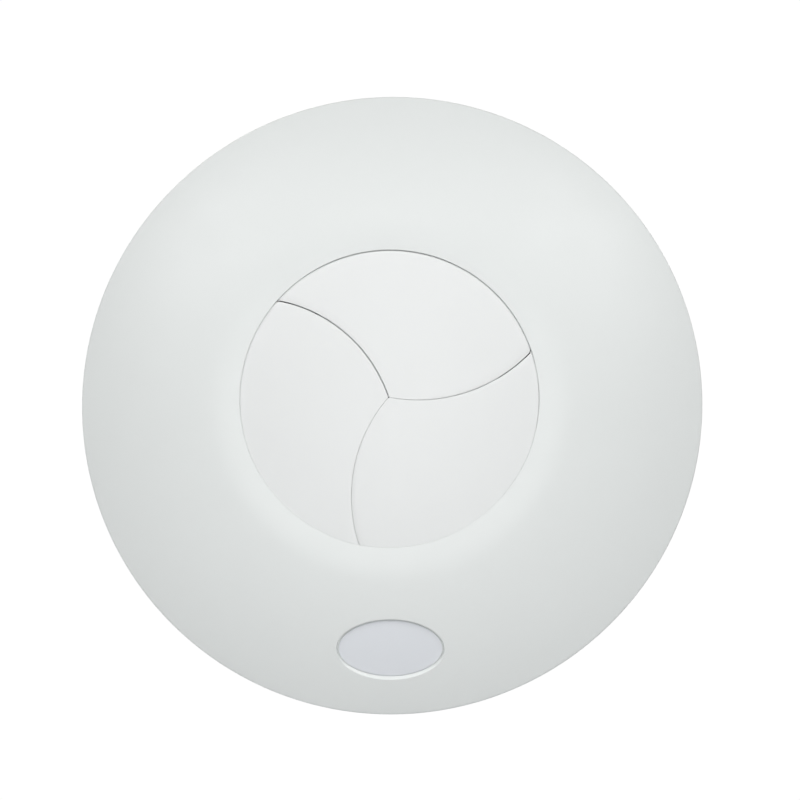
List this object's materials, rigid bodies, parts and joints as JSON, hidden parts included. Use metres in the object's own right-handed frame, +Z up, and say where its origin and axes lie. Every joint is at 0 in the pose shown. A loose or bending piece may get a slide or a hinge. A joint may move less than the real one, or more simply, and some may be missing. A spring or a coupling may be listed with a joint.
{
  "type": "ventilation fan unit",
  "caption": "Round wall-mounted ventilation unit: domed cover, three-leaf iris shutter, axial fan in a duct spigot and a plug-in control module.",
  "frame": {"origin": "axis of the duct at the wall plane, which is the back face of the base plate", "axes": "+Y out of the back along the duct, -Y out of the front towards the room, +Z up, +X to the right seen from the room"},
  "size_m": [0.29, 0.1056, 0.29],
  "materials": {
    "white_plastic": "satin white moulding",
    "leaf_plastic": "satin white moulding",
    "badge_plastic": "light grey, slightly bluish, fine satin",
    "inner_plastic": "matt off-white",
    "gear_plastic": "natural acetal",
    "grey_plastic": "matt grey",
    "dark_plastic": "matt black",
    "steel": "plated",
    "dark_steel": "plain",
    "brass": "plain",
    "rubber": "matt",
    "foam": "closed-cell foam",
    "board": "solder-masked laminate",
    "wire": "cable sheath"
  },
  "bodies": {
    "base": {"base_plate": "inner_plastic", "wall_gasket": "foam", "wall_screw_1": "steel", "wall_screw_2": "steel", "wall_screw_3": "steel", "wall_screw_4": "steel", "iris_carrier": "inner_plastic", "carrier_screw_1": "steel", "carrier_screw_2": "steel", "carrier_screw_3": "steel", "actuator_body": "dark_plastic", "actuator_screw_1": "steel", "actuator_screw_2": "steel", "motor_spider": "inner_plastic", "motor_can": "steel", "motor_end_cap": "dark_steel", "stator": "dark_steel", "bearing_front": "steel", "bearing_rear": "steel", "terminal_block": "dark_plastic", "terminal_screw_1": "brass", "terminal_screw_2": "brass", "terminal_screw_3": "brass", "terminal_cover": "inner_plastic", "terminal_cover_screw": "steel", "cable_clamp": "inner_plastic", "clamp_screw_1": "steel", "clamp_screw_2": "steel", "cable_grommet": "rubber", "control_board": "board", "capacitor": "dark_plastic", "relay": "dark_plastic", "module_socket": "dark_plastic", "motor_lead": "wire", "actuator_lead": "wire", "supply_lead": "wire"},
    "cover_body": {"cover": "white_plastic", "badge": "badge_plastic"},
    "ring_body": {"drive_ring": "gear_plastic"},
    "leaf_body_1": {"leaf_1": "leaf_plastic", "leaf_gear_1": "gear_plastic", "leaf_screw_1": "steel"},
    "leaf_body_2": {"leaf_2": "leaf_plastic", "leaf_gear_2": "gear_plastic", "leaf_screw_2": "steel"},
    "leaf_body_3": {"leaf_3": "leaf_plastic", "leaf_gear_3": "gear_plastic", "leaf_screw_3": "steel"},
    "pinion_body": {"actuator_pinion": "gear_plastic"},
    "fan_body": {"impeller": "grey_plastic", "impeller_nut": "brass", "motor_shaft": "steel", "motor_rotor": "dark_plastic"},
    "module_body": {"control_module": "grey_plastic"},
    "timer_body": {"timer_dial": "white_plastic"},
    "humidity_body": {"humidity_dial": "white_plastic"}
  },
  "joints": [
    {"name": "iris_ring_turn", "type": "hinge", "parent": "base", "child": "ring_body", "pos_m": [0, -0.036, 0], "axis": [0, 1, 0], "range_deg": [0, 8]},
    {"name": "leaf_1_swing", "type": "hinge", "parent": "base", "child": "leaf_body_1", "pos_m": [-0.05604, -0.03892, 0.05683], "axis": [-0.1673, -0.9712, 0.1696], "range_deg": [0, 40]},
    {"name": "leaf_2_swing", "type": "hinge", "parent": "base", "child": "leaf_body_2", "pos_m": [-0.02119, -0.03892, -0.07694], "axis": [-0.0633, -0.9712, -0.2297], "range_deg": [0, 40]},
    {"name": "leaf_3_swing", "type": "hinge", "parent": "base", "child": "leaf_body_3", "pos_m": [0.07723, -0.03892, 0.02012], "axis": [0.2305, -0.9712, 0.0601], "range_deg": [0, 40]},
    {"name": "actuator_pinion_turn", "type": "hinge", "parent": "base", "child": "pinion_body", "pos_m": [-0.06667, -0.033, -0.046], "axis": [0, -1, 0], "range_deg": [0, 64]},
    {"name": "fan_spin", "type": "hinge", "parent": "base", "child": "fan_body", "pos_m": [0, 0.03, 0], "axis": [0, -1, 0], "continuous": true},
    {"name": "cover_pull_off", "type": "slide", "parent": "base", "child": "cover_body", "axis": [0, -1, 0], "range_m": [0, 0.06]},
    {"name": "module_unplug", "type": "slide", "parent": "base", "child": "module_body", "axis": [1, 0, 0], "range_m": [0, 0.012]},
    {"name": "timer_dial_turn", "type": "hinge", "parent": "module_body", "child": "timer_body", "pos_m": [0.0074, -0.02, -0.104], "axis": [0, -1, 0], "range_deg": [-135, 135]},
    {"name": "humidity_dial_turn", "type": "hinge", "parent": "module_body", "child": "humidity_body", "pos_m": [0.0244, -0.02, -0.104], "axis": [0, -1, 0], "range_deg": [-135, 135]}
  ],
  "couplings": [
    {"joint": "leaf_1_swing", "follows": "iris_ring_turn", "ratio": 5},
    {"joint": "leaf_2_swing", "follows": "iris_ring_turn", "ratio": 5},
    {"joint": "leaf_3_swing", "follows": "iris_ring_turn", "ratio": 5},
    {"joint": "actuator_pinion_turn", "follows": "iris_ring_turn", "ratio": 8}
  ]
}
